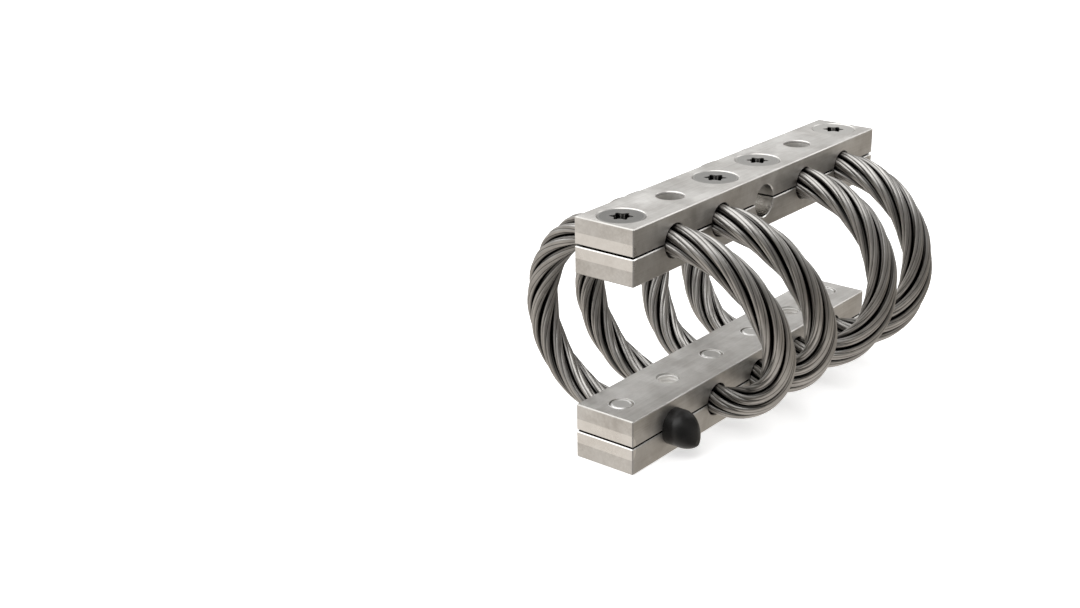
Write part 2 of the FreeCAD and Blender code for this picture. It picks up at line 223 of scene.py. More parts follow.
def crown_height(turn):
    """1 on the back of a wire, 0 in the groove between two wires."""
    half = math.tau / WIRES / 2
    off = (turn % (2 * half)) - half
    return 1 - (off / half) ** 2


def strand_point(turn, length):
    """A point of the strand's section, at this distance along the rope, from the strand's middle."""
    heading = turn + FIRST_GROOVE + math.tau * length / WIRE_LAY
    off = abs((heading + math.pi) % math.tau - math.pi)
    shoulder = SHOULDER * math.sin(math.pi * off / SHOULDER_SPAN) ** 2 if off < SHOULDER_SPAN else 0
    reach = STRAND_RADIUS * (1 + shoulder) * (1 - GROOVE_DEPTH * (1 - crown_height(turn)))
    return Vector((reach * math.cos(heading), reach * math.sin(heading) / math.cos(SLANT), 0))


print("strands %.2f mm thick, laid at %.1f degrees" % (STRAND_RADIUS * 2000, math.degrees(SLANT)))

# %% [markdown]
# The strand is made straight first and laid afterwards. One extrusion turns the ring into a tube, and
# cutting the tube's long edges gives it one ring for every plane of the walk. Extruding ring by ring
# would give the same mesh, but each extrusion looks through the whole mesh again, so 700 of them
# take minutes where one cut takes a second.
#
# Then each ring gets its section and goes into its own plane, set out from the rope's middle and
# turned a little further than the ring before. One full turn takes 65 mm, and the twist is to the
# right, as in the photograph. Three things are stored with each point for the material: its place on
# the straight tube, so that a pattern follows the wires round every bend, how high it is on its wire,
# and how far outside on its strand.


# %% Laying a tube along the rope
INNERMOST = -1.0


def laid_along(name, points, radius, section_point, set_out, twist, first):
    """A closed tube, made straight from one ring of points, then shaped and laid along the rope."""
    mesh = bmesh.new()
    bmesh.ops.create_circle(mesh, segments=points, radius=radius)
    count = len(walk.planes) - 1
    made = bmesh.ops.extrude_edge_only(mesh, edges=mesh.edges[:])["geom"]
    far = [item for item in made if isinstance(item, bmesh.types.BMVert)]
    bmesh.ops.translate(mesh, verts=far, vec=(0, 0, count))
    bmesh.ops.holes_fill(mesh, edges=mesh.edges[:], sides=0)
    long_edges = [edge for edge in mesh.edges if edge.verts[0].co.z != edge.verts[1].co.z]
    bmesh.ops.subdivide_edges(mesh, edges=long_edges, cuts=count - 1, use_grid_fill=True)
    straight = mesh.verts.layers.float_vector.new("straight_place")
    crown = mesh.verts.layers.float.new("wire_crown")
    outward = mesh.verts.layers.float.new("outward")
    places = [plane @ Matrix.Rotation(first + twist * length, 4, "Z") @ Matrix.Translation((set_out, 0, 0))
              for plane, length in zip(walk.planes, walk.lengths)]
    for vert in mesh.verts:
        stop = round(vert.co.z)
        length = walk.lengths[stop]
        turn = math.atan2(vert.co.y, vert.co.x)
        point = section_point(turn, length)
        vert[straight] = (vert.co.x, vert.co.y, length)
        vert[crown] = crown_height(turn)
        vert[outward] = point.x / radius if set_out else INNERMOST
        vert.co = places[stop] @ point
    bmesh.ops.recalc_face_normals(mesh, faces=mesh.faces)
    for face in mesh.faces:
        face.smooth = len(face.verts) == 4
    data = bpy.data.meshes.new(name)
    mesh.to_mesh(data)
    mesh.free()
    piece = bpy.data.objects.new(name, data)
    bpy.context.scene.collection.objects.link(piece)
    return piece


strands = []
for number in range(STRANDS):
    angle = FIRST_STRAND + number * math.tau / STRANDS
    strands.append(laid_along("rope_strand_%d" % (number + 1), WIRES * POINTS_PER_WIRE, STRAND_RADIUS,
                              strand_point, STRAND_RING, math.tau / LAY, angle))
print("%s: %d points each" % (strands[0].name, len(strands[0].data.vertices)))

# %% [markdown]
# The core is the strand in the middle that the others lean on, and they press into it a little. It
# shows only as a dark line deep in the gaps, so a plain ring is enough, and it is drawn along the
# rope in the same way.

# %% Core
CORE_POINTS = 12
PRESSED_IN = 0.93
CORE_RADIUS = STRAND_RING - STRAND_RADIUS * PRESSED_IN


def core_point(turn, length):
    """A point of the core's plain round section."""
    return Vector((CORE_RADIUS * math.cos(turn), CORE_RADIUS * math.sin(turn), 0))


core = laid_along("rope_core", CORE_POINTS, CORE_RADIUS, core_point, 0, 0, 0)
print("core %.2f mm across" % (CORE_RADIUS * 2000))

# %% [markdown]
# The rope crosses the joint between the two bars, and in the real mount it flexes in between. Here each
# rope piece has its placement baked into its mesh, and the plain CAD rope is hidden.

# %% Bake the rope pieces and hide the CAD rope
for piece in strands + [core]:
    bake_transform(piece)
    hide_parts("wire_rope")
print("%d pieces flex with the joint" % (len(strands) + 1))

# %% [markdown]
# ## Helpers for materials
#
# Materials are trees of nodes, and a few small helpers keep the cells short. The first adds a node
# with its settings and its links. Sums come so often that they have helpers of their own. A ramp
# stretches a part of a value's range to the whole of 0 to 1: it turns a noise or a distance into a
# mask, whose edge is as hard or as soft as its two limits say.


# %% Nodes, sums and ramps
def add(tree, kind, inputs=None, **settings):
    """A node with its settings. An input is a value, or another node's output to link."""
    node = tree.nodes.new(kind)
    for name, value in settings.items():
        setattr(node, name, value)
    for name, value in (inputs or {}).items():
        if isinstance(value, bpy.types.NodeSocket):
            tree.links.new(value, node.inputs[name])
        else:
            node.inputs[name].default_value = value
    return node


def math_node(tree, operation, *values, clamp=False):
    """A sum, product or other simple calculation. Returns its output."""
    node = tree.nodes.new("ShaderNodeMath")
    node.operation = operation
    node.use_clamp = clamp
    for socket, value in zip(node.inputs, values):
        if isinstance(value, bpy.types.NodeSocket):
            tree.links.new(value, socket)
        else:
            socket.default_value = value
    return node.outputs[0]


def times(tree, first, second):
    """A product. Two masks multiplied leave only what both of them show."""
    return math_node(tree, "MULTIPLY", first, second)


def size_of(tree, value):
    """A value without its sign."""
    return math_node(tree, "ABSOLUTE", value)


def parts_of(tree, vector):
    """The X, Y and Z of a vector, as outputs."""
    return add(tree, "ShaderNodeSeparateXYZ", {0: vector}).outputs


def ramp(tree, value, low, high):
    """Stretches a value between two limits to the range from 0 to 1."""
    node = add(tree, "ShaderNodeMapRange", {"Value": value, "From Min": low, "From Max": high})
    return node.outputs["Result"]


print("helpers for nodes, sums and ramps")

# %% [markdown]
# A group is built once and placed in every material that needs its effect, as a workshop has one
# jig for the same cut in many parts. Its inputs and outputs have names, so a material can ask for
# the effect without knowing what is inside.


# %% Groups with named sockets
def open_group(name, inputs, outputs):
    """A new node group with named sockets. Returns its tree, its inputs and its end node."""
    tree = bpy.data.node_groups.new(name, "ShaderNodeTree")
    for label, kind, value in inputs:
        socket = tree.interface.new_socket(label, in_out="INPUT", socket_type=kind)
        socket.default_value = value
    for label, kind in outputs:
        tree.interface.new_socket(label, in_out="OUTPUT", socket_type=kind)
    entry = tree.nodes.new("NodeGroupInput")
    end = tree.nodes.new("NodeGroupOutput")
    return tree, entry.outputs, end


def place_group(tree, group, inputs):
    """Puts a group into a material and sets or links its inputs."""
    return add(tree, "ShaderNodeGroup", inputs, node_tree=group).outputs


print("helpers for groups")

# %% [markdown]
# ## Effects that several finishes share
#
# The plates were cut from rolled bar, so their surface has fine lines and cloudy patches. The
# screws and the rope's wires have drawn or turned lines of the same kind, only running another way.
# One group gives both: a noise that is stretched one way makes the lines, and a wide soft noise
# makes the clouds. Each material says how fine the lines are and along what.

# %% Metal grain group
GRAIN, entry, end = open_group(
    "metal_grain",
    [("Place", "NodeSocketVector", (0, 0, 0)), ("Line Scale", "NodeSocketVector", (40, 900, 900)),
     ("Cloud Scale", "NodeSocketFloat", 120.0)],
    [("Lines", "NodeSocketFloat"), ("Clouds", "NodeSocketFloat")])
stretched = add(GRAIN, "ShaderNodeVectorMath", {0: entry["Place"], 1: entry["Line Scale"]},
                operation="MULTIPLY").outputs[0]
lines = add(GRAIN, "ShaderNodeTexNoise", {
    "Vector": stretched, "Scale": 1.0, "Detail": 4.0, "Roughness": 0.6})
clouds = add(GRAIN, "ShaderNodeTexNoise", {
    "Vector": entry["Place"], "Scale": entry["Cloud Scale"], "Detail": 3.0, "Roughness": 0.55})
GRAIN.links.new(lines.outputs["Fac"], end.inputs["Lines"])
GRAIN.links.new(clouds.outputs["Fac"], end.inputs["Clouds"])
print("group", GRAIN.name)

# %% [markdown]
# Handling polishes an object where it sticks out. On these plates that is each broken edge and each
# countersink: faces that slant between two main directions. The finishes lighten these faces by this mask,
# partly as wear and partly as a painted highlight. A face's own direction tells which ones they are. On a
# flat face one part of it is 1 and the others are 0, and on a slanted one the largest is smaller, so the
# group needs no measured positions.

# %% Edge shine group
SLANTED_BY = (0.12, 0.26)
EDGES, entry, end = open_group(
    "edge_shine",
    [("Place", "NodeSocketVector", (0, 0, 0)), ("Patchiness", "NodeSocketFloat", 0.4)],
    [("Mask", "NodeSocketFloat")])
facing = add(EDGES, "ShaderNodeNewGeometry").outputs["Normal"]
sizes = [size_of(EDGES, part) for part in parts_of(EDGES, facing)]
largest = math_node(EDGES, "MAXIMUM", math_node(EDGES, "MAXIMUM", sizes[0], sizes[1]), sizes[2])
slanted = ramp(EDGES, math_node(EDGES, "SUBTRACT", 1.0, largest), *SLANTED_BY)
patches = add(EDGES, "ShaderNodeTexNoise", {
    "Vector": entry["Place"], "Scale": 700.0, "Detail": 2.0}).outputs["Fac"]
worn = math_node(EDGES, "SUBTRACT", 1.0, times(EDGES, patches, entry["Patchiness"]))
EDGES.links.new(math_node(EDGES, "MULTIPLY", slanted, worn, clamp=True), end.inputs["Mask"])
print("group", EDGES.name)

# %% [markdown]
# A workshop part is never quite clean. A thin film of dust and old oil gathers in patches, and it
# dulls what lies under it. The group gives a mask for that film, with fainter speckles in it.

# %% Grime group
FILM_EDGE = (0.42, 0.72)
SPECK_EDGE = (0.2, 0.05)
SPECK_SHARE = 0.5
GRIME, entry, end = open_group(
    "thin_grime",
    [("Place", "NodeSocketVector", (0, 0, 0)), ("Patch Scale", "NodeSocketFloat", 90.0),
     ("Amount", "NodeSocketFloat", 0.5)],
    [("Mask", "NodeSocketFloat")])
patch = add(GRIME, "ShaderNodeTexNoise", {
    "Vector": entry["Place"], "Scale": entry["Patch Scale"], "Detail": 5.0, "Roughness": 0.65,
    "Distortion": 0.6}).outputs["Fac"]
specks = add(GRIME, "ShaderNodeTexVoronoi", {"Vector": entry["Place"], "Scale": 900.0}).outputs["Distance"]
film = times(GRIME, ramp(GRIME, patch, *FILM_EDGE), entry["Amount"])
dots = times(GRIME, ramp(GRIME, specks, *SPECK_EDGE), entry["Amount"])
grimy = math_node(GRIME, "MAXIMUM", film, times(GRIME, dots, SPECK_SHARE))
GRIME.links.new(grimy, end.inputs["Mask"])
print("group", GRIME.name)

# %% [markdown]
# ## A finish in layers
#
# Each finish is built like paint on a model: a ground tone, and one thin layer over another, each
# with a mask and an amount. The roughness adds up in the same way, from its smoothest value and from
# what each mask adds or takes away. Values that are the same all over are set when a finish is
# opened.


# %% Opening and layering a finish
def new_finish(name, roughness, metallic, **constants):
    """A material with its shader's constant values. Returns the material, its tree and its shader."""
    material = bpy.data.materials.new(name)
    material.use_nodes = True
    tree = material.node_tree
    shader = tree.nodes["Principled BSDF"]
    shader.inputs["Roughness"].default_value = roughness
    shader.inputs["Metallic"].default_value = metallic
    for label, value in constants.items():
        shader.inputs[label.replace("_", " ")].default_value = value
    return material, tree, shader


def blend_colours(tree, share, first, second):
    """Mixes two colours, or two colour outputs, by a share."""
    node = tree.nodes.new("ShaderNodeMix")
    node.data_type = "RGBA"
    for socket, value in ((node.inputs[0], share), (node.inputs[6], first), (node.inputs[7], second)):
        if isinstance(value, bpy.types.NodeSocket):
            tree.links.new(value, socket)
        else:
            socket.default_value = value
    return node.outputs[2]


def layer(tree, mask, amount, under, over):
    """Lays one tone over another where a mask shows, up to an amount."""
    return blend_colours(tree, times(tree, mask, amount), under, over)


def set_roughness(tree, shader, smoothest, changes):
    """Adds up a finish's roughness from its smoothest value and what each mask changes."""
    rough = smoothest
    for mask, change in changes:
        rough = math_node(tree, "ADD", rough, times(tree, mask, change))
    tree.links.new(rough, shader.inputs["Roughness"])


def set_bump(tree, shader, height, strength, distance):
    """Lets a height turn the shader's normal, so that relief catches light."""
    bump = add(tree, "ShaderNodeBump", {"Height": height, "Strength": strength, "Distance": distance})
    tree.links.new(bump.outputs["Normal"], shader.inputs["Normal"])


MIDDLE_RANGE = (0.3, 0.7)
print("helpers for finishes")

# %% [markdown]
# ## Aluminium plates
#
# The bars are satin aluminium with a warm grey cast. Four plates share one material, because the
# places where it differs, such as holes, bores and the split between two plates, can be found from
# distances: how far a point is from an axis, or from the height of the split. A mask is 1 on one
# side of a limit and 0 on the other, and its edge is a tenth of a millimetre wide.


# %% Masks from distances
FADE = 0.0001


def below(tree, value, limit):
    """1 below a limit and 0 above it."""
    return ramp(tree, value, limit + FADE, limit)


def above(tree, value, limit):
    """1 above a limit and 0 below it."""
    return ramp(tree, value, limit - FADE, limit)


def length_of(tree, across, along):
    """Distance from an axis, from the two distances across it."""
    squares = [times(tree, value, value) for value in (across, along)]
    return math_node(tree, "SQRT", math_node(tree, "ADD", *squares))


print("helpers for masks, %.1f mm edges" % (FADE * 1000))

# %% [markdown]
# The mounting holes have a thread, which the CAD model leaves out. A thread is a groove that climbs
# by one pitch in each turn, so its height is the fraction of (height + turn x pitch) / pitch. It
# is only wanted on the hole's wall, and two things mask it: the distance from the hole's axis, and
# the face's direction, because only the flat face round the hole points straight up or down. The
# same two find the wider, unthreaded part of the hole in the outer plate.

# %% Thread in the mounting holes
THREAD_PITCH = 0.001
MOUNT_COLUMN = 1.5 * PITCH
THREAD_RADIUS = 0.0026
CLEAR_RADIUS = 0.0035
CLEAR_EDGE = 0.00002
UPRIGHT_WALL = (0.9, 0.8)


def hole_masks(tree, place):
    """The thread's groove, and masks of the threaded walls and of all drilled walls."""
    parts = parts_of(tree, place)
    side = math_node(tree, "SIGN", parts["X"])
    across = math_node(tree, "SUBTRACT", parts["X"], times(tree, side, MOUNT_COLUMN))
    turn = math_node(tree, "DIVIDE", math_node(tree, "ARCTAN2", parts["Y"], across), math.tau)
    climb = math_node(tree, "ADD", math_node(tree, "DIVIDE", parts["Z"], THREAD_PITCH), turn)
    distance = length_of(tree, across, parts["Y"])
    facing = parts_of(tree, add(tree, "ShaderNodeNewGeometry").outputs["Normal"])
    wall = ramp(tree, size_of(tree, facing["Z"]), *UPRIGHT_WALL)
    threaded = times(tree, wall, below(tree, distance, THREAD_RADIUS))
    drilled = times(tree, wall, ramp(tree, distance, CLEAR_RADIUS + CLEAR_EDGE, CLEAR_RADIUS))
    groove = times(tree, math_node(tree, "PINGPONG", climb, 0.5), threaded)
    return groove, threaded, drilled


print("thread of %.1f mm pitch, %.1f mm from the middle" % (THREAD_PITCH * 1000, MOUNT_COLUMN * 1000))

# %% [markdown]
# The screws end nearly level with the plates' inner faces. There the mouth of each screw hole was broken
# with a larger drill, and the end of each screw was faced. Both get a painted highlight: a bright ring,
# painted only at the two sides where light catches it. The rings are found from the distance to the
# screw's axis. All eight screws can share one formula: they sit one pitch either side of the mounting
# holes, at the same distance on both halves of the bar.

# %% Painted highlight rings round the screw ends
MIDDLE_HEIGHT = (LOWER_SPLIT + UPPER_SPLIT) / 2
LIT_SIDES = (0.4, 0.8)


def from_screw_axis(tree, place):
    """How far a point is from the axis of the nearest screw: along the bar, and in all."""
    parts = parts_of(tree, place)
    half = math_node(tree, "SUBTRACT", size_of(tree, parts["X"]), MOUNT_COLUMN)
    across = math_node(tree, "SUBTRACT", size_of(tree, half), PITCH)
    return across, length_of(tree, across, parts["Y"])


def painted_highlight_arcs(tree, place, inside, outside):
    """A mask of a painted highlight: a ring round the screw's axis, only at the two sides where light
    catches it.
    """
    across, distance = from_screw_axis(tree, place)
    ring = times(tree, above(tree, distance, inside), below(tree, distance, outside))
    sides = ramp(tree, math_node(tree, "DIVIDE", size_of(tree, across), distance), *LIT_SIDES)
    return times(tree, ring, sides)


print("heights are counted from %.2f mm, midway between the bars" % (MIDDLE_HEIGHT * 1000))

# %% [markdown]
# The faces come first, in five layers: a cloudy ground tone, fine lines along the bar, a brownish film in
# patches, pale patches where hands have rubbed, and lightened broken edges, partly wear and partly a
# painted highlight. The pale patches use the same group as the film, but read it at another place, so the
# two don't coincide.

# %% Plate faces
ALUMINIUM_DARK = (0.46, 0.446, 0.422, 1)
ALUMINIUM_LIGHT = (0.59, 0.58, 0.561, 1)
LINE_TONE = (0.74, 0.73, 0.71, 1)
OILY_TONE = (0.31, 0.285, 0.26, 1)
HANDLED_TONE = (0.90, 0.89, 0.87, 1)
EDGE_WEAR_AND_HIGHLIGHT_TONE = (0.86, 0.85, 0.83, 1)
ELSEWHERE = (0.31, 0.17, 0.05)
plate_finish, tree, shader = new_finish("satin_aluminium", 0.42, 1.0)
place = add(tree, "ShaderNodeTexCoord").outputs["Object"]
moved = add(tree, "ShaderNodeVectorMath", {0: place, 1: ELSEWHERE}, operation="ADD").outputs[0]
grain = place_group(tree, GRAIN, {"Place": place, "Line Scale": (60, 1400, 1400), "Cloud Scale": 85.0})
shine = place_group(tree, EDGES, {"Place": place, "Patchiness": 0.35})["Mask"]
film = place_group(tree, GRIME, {"Place": place, "Patch Scale": 95.0, "Amount": 0.5})["Mask"]
smudge = place_group(tree, GRIME, {"Place": moved, "Patch Scale": 130.0, "Amount": 0.5})["Mask"]
cloudy = ramp(tree, grain["Clouds"], *MIDDLE_RANGE)
tone = blend_colours(tree, cloudy, ALUMINIUM_DARK, ALUMINIUM_LIGHT)
tone = layer(tree, ramp(tree, grain["Lines"], 0.35, 0.75), 0.45, tone, LINE_TONE)
tone = layer(tree, film, 0.8, tone, OILY_TONE)
tone = layer(tree, smudge, 0.65, tone, HANDLED_TONE)
# slanted edges and countersinks lightened: partly wear, partly a painted highlight
tone = layer(tree, shine, 0.25, tone, EDGE_WEAR_AND_HIGHLIGHT_TONE)
print(plate_finish.name, "has its faces")

# %% [markdown]
# Then the holes and the edges at the bars' ends. The level edges at the bars' ends are painted darker than
# the other edges, as painted shade that dims their highlight. The walls of the clear holes are painted
# light near their mouth, as painted light, with a dark lip just under the mouth as a painted shadow, and
# further down they are darker. The threads are painted brightest, as painted light inside the hole. The
# bores for the rope were reamed, so they are a little brighter than the faces.

# %% Dimmed end edges, painted light and shade in the holes, and reamed bores
DIMMED_EDGE_FROM = 0.05475
LEVEL_EDGE_TO = 0.0082
OUTER_FACE = 0.03075
MOUTH_LIGHT_DEPTH = 0.003
LIP_SHADOW_DEPTH = 0.0007
BORE_RADIUS = 0.00415
DIMMED_EDGE_TONE = (0.40, 0.39, 0.37, 1)
DEEP_TONE = (0.46, 0.45, 0.43, 1)
MOUTH_LIGHT_TONE = (0.80, 0.785, 0.76, 1)
LIP_SHADOW_TONE = (0.27, 0.26, 0.25, 1)
THREAD_LIGHT_TONE = (0.95, 0.94, 0.92, 1)
REAMED_TONE = (0.97, 0.955, 0.93, 1)
parts = parts_of(tree, place)
at_end = above(tree, size_of(tree, parts["X"]), DIMMED_EDGE_FROM)
level_edge = below(tree, size_of(tree, parts["Y"]), LEVEL_EDGE_TO)
# painted shade: the level edges at the bars' ends darker, which dims their highlight
dimmed_edge = times(tree, times(tree, shine, at_end), level_edge)
tone = blend_colours(tree, dimmed_edge, tone, DIMMED_EDGE_TONE)
groove, threaded, drilled = hole_masks(tree, place)
from_middle = size_of(tree, math_node(tree, "SUBTRACT", parts["Z"], MIDDLE_HEIGHT))
# painted light: the clear holes' walls lighter near the mouth
lightened = ramp(tree, from_middle, OUTER_FACE - MOUTH_LIGHT_DEPTH, OUTER_FACE - MOUTH_LIGHT_DEPTH / 5)
# painted shadow: a dark lip just under the mouth
lip_shadow = ramp(tree, from_middle, OUTER_FACE - LIP_SHADOW_DEPTH, OUTER_FACE - LIP_SHADOW_DEPTH / 2)
drill_tone = blend_colours(tree, lightened, DEEP_TONE, MOUTH_LIGHT_TONE)
drill_tone = blend_colours(tree, lip_shadow, drill_tone, LIP_SHADOW_TONE)
tone = blend_colours(tree, drilled, tone, drill_tone)
# painted light: the threaded walls near white, so the hole's inside reads bright
tone = blend_colours(tree, threaded, tone, THREAD_LIGHT_TONE)
column = math_node(tree, "PINGPONG", parts["X"], PITCH / 2)
past_split = math_node(tree, "SUBTRACT", from_middle, UPPER_SPLIT - MIDDLE_HEIGHT)
reamed = below(tree, length_of(tree, column, past_split), BORE_RADIUS + FADE)
tone = layer(tree, reamed, 0.33, tone, REAMED_TONE)
print("clear holes rubbed to %.1f mm below the face" % (MOUTH_LIGHT_DEPTH * 1000))

# %% [markdown]
# Last come the painted highlight rings at the mouths of the screw holes, and the split of each bar. The
# two faces that meet there are painted nearly black, as painted shade in the narrow gap.

# %% Painted highlights at the mouths and painted shade in the splits
INNER_FACE = 0.01675
MOUTH_DEPTH = 0.0003
MOUTH_RING = (0.0029, 0.0032)
SPLIT_EDGE = (0.00024, 0.00021)
HIGHLIGHT_RING_TONE = (0.97, 0.965, 0.95, 1)
SPLIT_SHADE_TONE = (0.02, 0.018, 0.016, 1)
at_face = below(tree, from_middle, INNER_FACE + MOUTH_DEPTH)
# painted highlight: a bright ring at the screw holes' mouths, only at two sides
ring = times(tree, painted_highlight_arcs(tree, place, *MOUTH_RING), at_face)
tone = blend_colours(tree, ring, tone, HIGHLIGHT_RING_TONE)
# painted shade: the faces inside the split nearly black
in_split = ramp(tree, size_of(tree, past_split), *SPLIT_EDGE)
tone = blend_colours(tree, in_split, tone, SPLIT_SHADE_TONE)
tree.links.new(tone, shader.inputs["Base Color"])
print("rings %.1f mm across at the mouths" % (MOUTH_RING[0] * 2000))

# %% [markdown]
# Colour alone would look painted. A fresh thread has many small torn faces that scatter light, so
# its wall is less of a mirror. Worn edges and reamed bores are smoother than the faces, drilled
# walls and greasy patches are rougher. The fine lines and the thread also feed the bump, so they
# catch light.

# %% Plate gloss and relief
mirror = math_node(tree, "SUBTRACT", 1.0, times(tree, threaded, 0.7))
tree.links.new(mirror, shader.inputs["Metallic"])
set_roughness(tree, shader, 0.34, (
    (cloudy, 0.14), (shine, -0.05), (reamed, -0.16), (drilled, 0.2), (smudge, 0.2), (film, 0.08)))
relief = math_node(tree, "ADD", times(tree, grain["Lines"], 0.09), groove)
set_bump(tree, shader, relief, 0.6, 0.0006)
for name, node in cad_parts.items():
    if name.endswith("_plate"):
        node.data.materials.clear()
        node.data.materials.append(plate_finish)
        print(name, "gets", plate_finish.name)

# %% [markdown]
# ## Screws
#
# The screws are turned steel with a dull dark coat. The six-lobed sockets are painted nearly black: partly
# old oil that stays there, and partly painted shade, because light hardly gets out of them. Only the six
# ridges that stand nearest to the axis get a painted highlight, at both their sides. One pair of masks
# gives these: the first is how black a point in the socket is, and the second shows the ridges' sides as
# twelve ticks round the axis.

# %% Socket masks
HEAD_LEVEL = 0.0306
SOCKET_TOP = (0.0001, 0.0003)
SOCKET_FLOOR = (0.0027, 0.0025)
SOCKET_REACH = 0.0029
FLUTES_FROM = (0.00205, 0.00225)
BLACK_FROM = (0.0017, 0.0021)
SOCKET_TICKS = 12
TICK_EDGE = (0.22, 0.34)


def socket_masks(tree, across, sideways, distance, depth):
    """Masks of a socket's painted shade and of its ridges' painted highlights."""
    sunk = times(tree, ramp(tree, depth, *SOCKET_TOP), ramp(tree, depth, *SOCKET_FLOOR))
    socket = times(tree, sunk, below(tree, distance, SOCKET_REACH))
    flutes = ramp(tree, distance, *FLUTES_FROM)
    black = math_node(tree, "MAXIMUM", flutes, ramp(tree, depth, *BLACK_FROM))
    turn = math_node(tree, "ARCTAN2", sideways, across)
    turn = math_node(tree, "DIVIDE", turn, math.tau / SOCKET_TICKS)
    ticks = ramp(tree, math_node(tree, "PINGPONG", turn, 0.5), *TICK_EDGE)
    return times(tree, socket, black), times(tree, socket, ticks)


print("sockets %.1f mm across" % (SOCKET_REACH * 2000))

# %% [markdown]
# A lathe leaves fine rings round the axis, so here the lines of the grain follow the distance from each
# screw's own axis. The narrow rim of the head is rubbed, its edges are lightened partly as wear and partly
# as a painted highlight, and the faced end is bright, with a painted highlight ring at two sides. On the
# upper bar each screw is lighter than the one before it, so the finish is made by a function that takes a
# dark and a light tone.

# %% Screw finish
TIP_DEPTH = 0.0138
TIP_CHAMFER = 0.0005
TIP_RING = (0.00205, 0.0025)
HEAD_RIM = (0.0051, 0.0053)
RIM_TONE = (0.45, 0.44, 0.42, 1)
EDGE_WEAR_AND_HIGHLIGHT_STEEL_TONE = (0.5, 0.49, 0.47, 1)
RIDGE_HIGHLIGHT_TONE = (0.95, 0.94, 0.90, 1)
SOCKET_SHADE_TONE = (0.006, 0.006, 0.006, 1)
TIP_TONE = (0.52, 0.51, 0.49, 1)
CLIMB = 0.4


def steel_tone(grey):
    """A grey with a trace of yellow in it."""
    return (grey, grey * 0.985, grey * 0.945, 1)


def turned_steel(name, darkest, lightest):
    """The screws' finish, between a dark and a light tone."""
    dark, light = steel_tone(darkest), steel_tone(lightest)
    finish, tree, shader = new_finish(name, 0.4, 1.0)
    place = add(tree, "ShaderNodeTexCoord").outputs["Object"]
    across, distance = from_screw_axis(tree, place)
    sideways, level = parts_of(tree, place)[1:3]
    turned = add(tree, "ShaderNodeCombineXYZ", {"X": distance, "Y": times(tree, level, CLIMB)}).outputs[0]
    rings = place_group(tree, GRAIN, {
        "Place": turned, "Line Scale": (2600, 2600, 1), "Cloud Scale": 300.0})["Lines"]
    clouds = place_group(tree, GRAIN, {
        "Place": place, "Line Scale": (300, 300, 300), "Cloud Scale": 260.0})["Clouds"]
    shine = place_group(tree, EDGES, {"Place": place, "Patchiness": 0.5})["Mask"]
    film = place_group(tree, GRIME, {"Place": place, "Patch Scale": 160.0, "Amount": 0.6})["Mask"]
    tone = blend_colours(tree, ramp(tree, rings, *MIDDLE_RANGE), dark, light)
    tone = layer(tree, clouds, 0.4, tone, light)
    tone = layer(tree, film, 0.4, tone, dark)
    tone = layer(tree, ramp(tree, distance, *HEAD_RIM), 0.3, tone, RIM_TONE)
    # slanted edges lightened: partly wear, partly a painted highlight
    tone = layer(tree, shine, 0.25, tone, EDGE_WEAR_AND_HIGHLIGHT_STEEL_TONE)
    from_middle = size_of(tree, math_node(tree, "SUBTRACT", level, MIDDLE_HEIGHT))
    depth = math_node(tree, "SUBTRACT", HEAD_LEVEL, from_middle)
    black, ridge_highlights = socket_masks(tree, across, sideways, distance, depth)
    # painted highlight on the socket's ridges
    tone = blend_colours(tree, ridge_highlights, tone, RIDGE_HIGHLIGHT_TONE)
    # painted shade with old oil: the socket nearly black
    tone = blend_colours(tree, black, tone, SOCKET_SHADE_TONE)
    at_tip = above(tree, depth, TIP_DEPTH - TIP_CHAMFER)
    tone = blend_colours(tree, at_tip, tone, TIP_TONE)
    # painted highlight: a bright ring at the screw's end, only at two sides
    tip_highlight_arcs = times(tree, painted_highlight_arcs(tree, place, *TIP_RING), at_tip)
    tone = blend_colours(tree, tip_highlight_arcs, tone, HIGHLIGHT_RING_TONE)
    tree.links.new(tone, shader.inputs["Base Color"])
    set_roughness(tree, shader, 0.28, ((rings, 0.2), (black, 0.4)))
    set_bump(tree, shader, rings, 0.35, 0.00008)
    return finish


dull_steel = turned_steel("turned_dull_steel", 0.14, 0.25)
lighter_steels = {
    "upper_screw_2": turned_steel("turned_paler_steel", 0.20, 0.36),
    "upper_screw_3": turned_steel("turned_lighter_steel", 0.255, 0.435),
    "upper_screw_4": turned_steel("turned_bright_steel", 0.45, 0.60),
}
for name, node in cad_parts.items():
    if "_screw_" in name:
        node.data.materials.clear()
        node.data.materials.append(lighter_steels.get(name, dull_steel))
        print(name, "gets", node.data.materials[0].name)

# %% [markdown]
# ## Rope wire
#
# Stainless wire is drawn through a die, so each wire has faint lines along its length and a soft gloss.
# The grooves between the wires and the valleys between the strands are painted dark, as painted shade. The
# lines and the painted shade follow the strand, so this material reads what was stored with each point:
# the straight place carries the lines and the clouds, the crown height paints shade into the grooves, and
# the outward share paints shade into the valleys and the inside of the rope. The core counts as innermost
# all over, so it is painted dark all over.

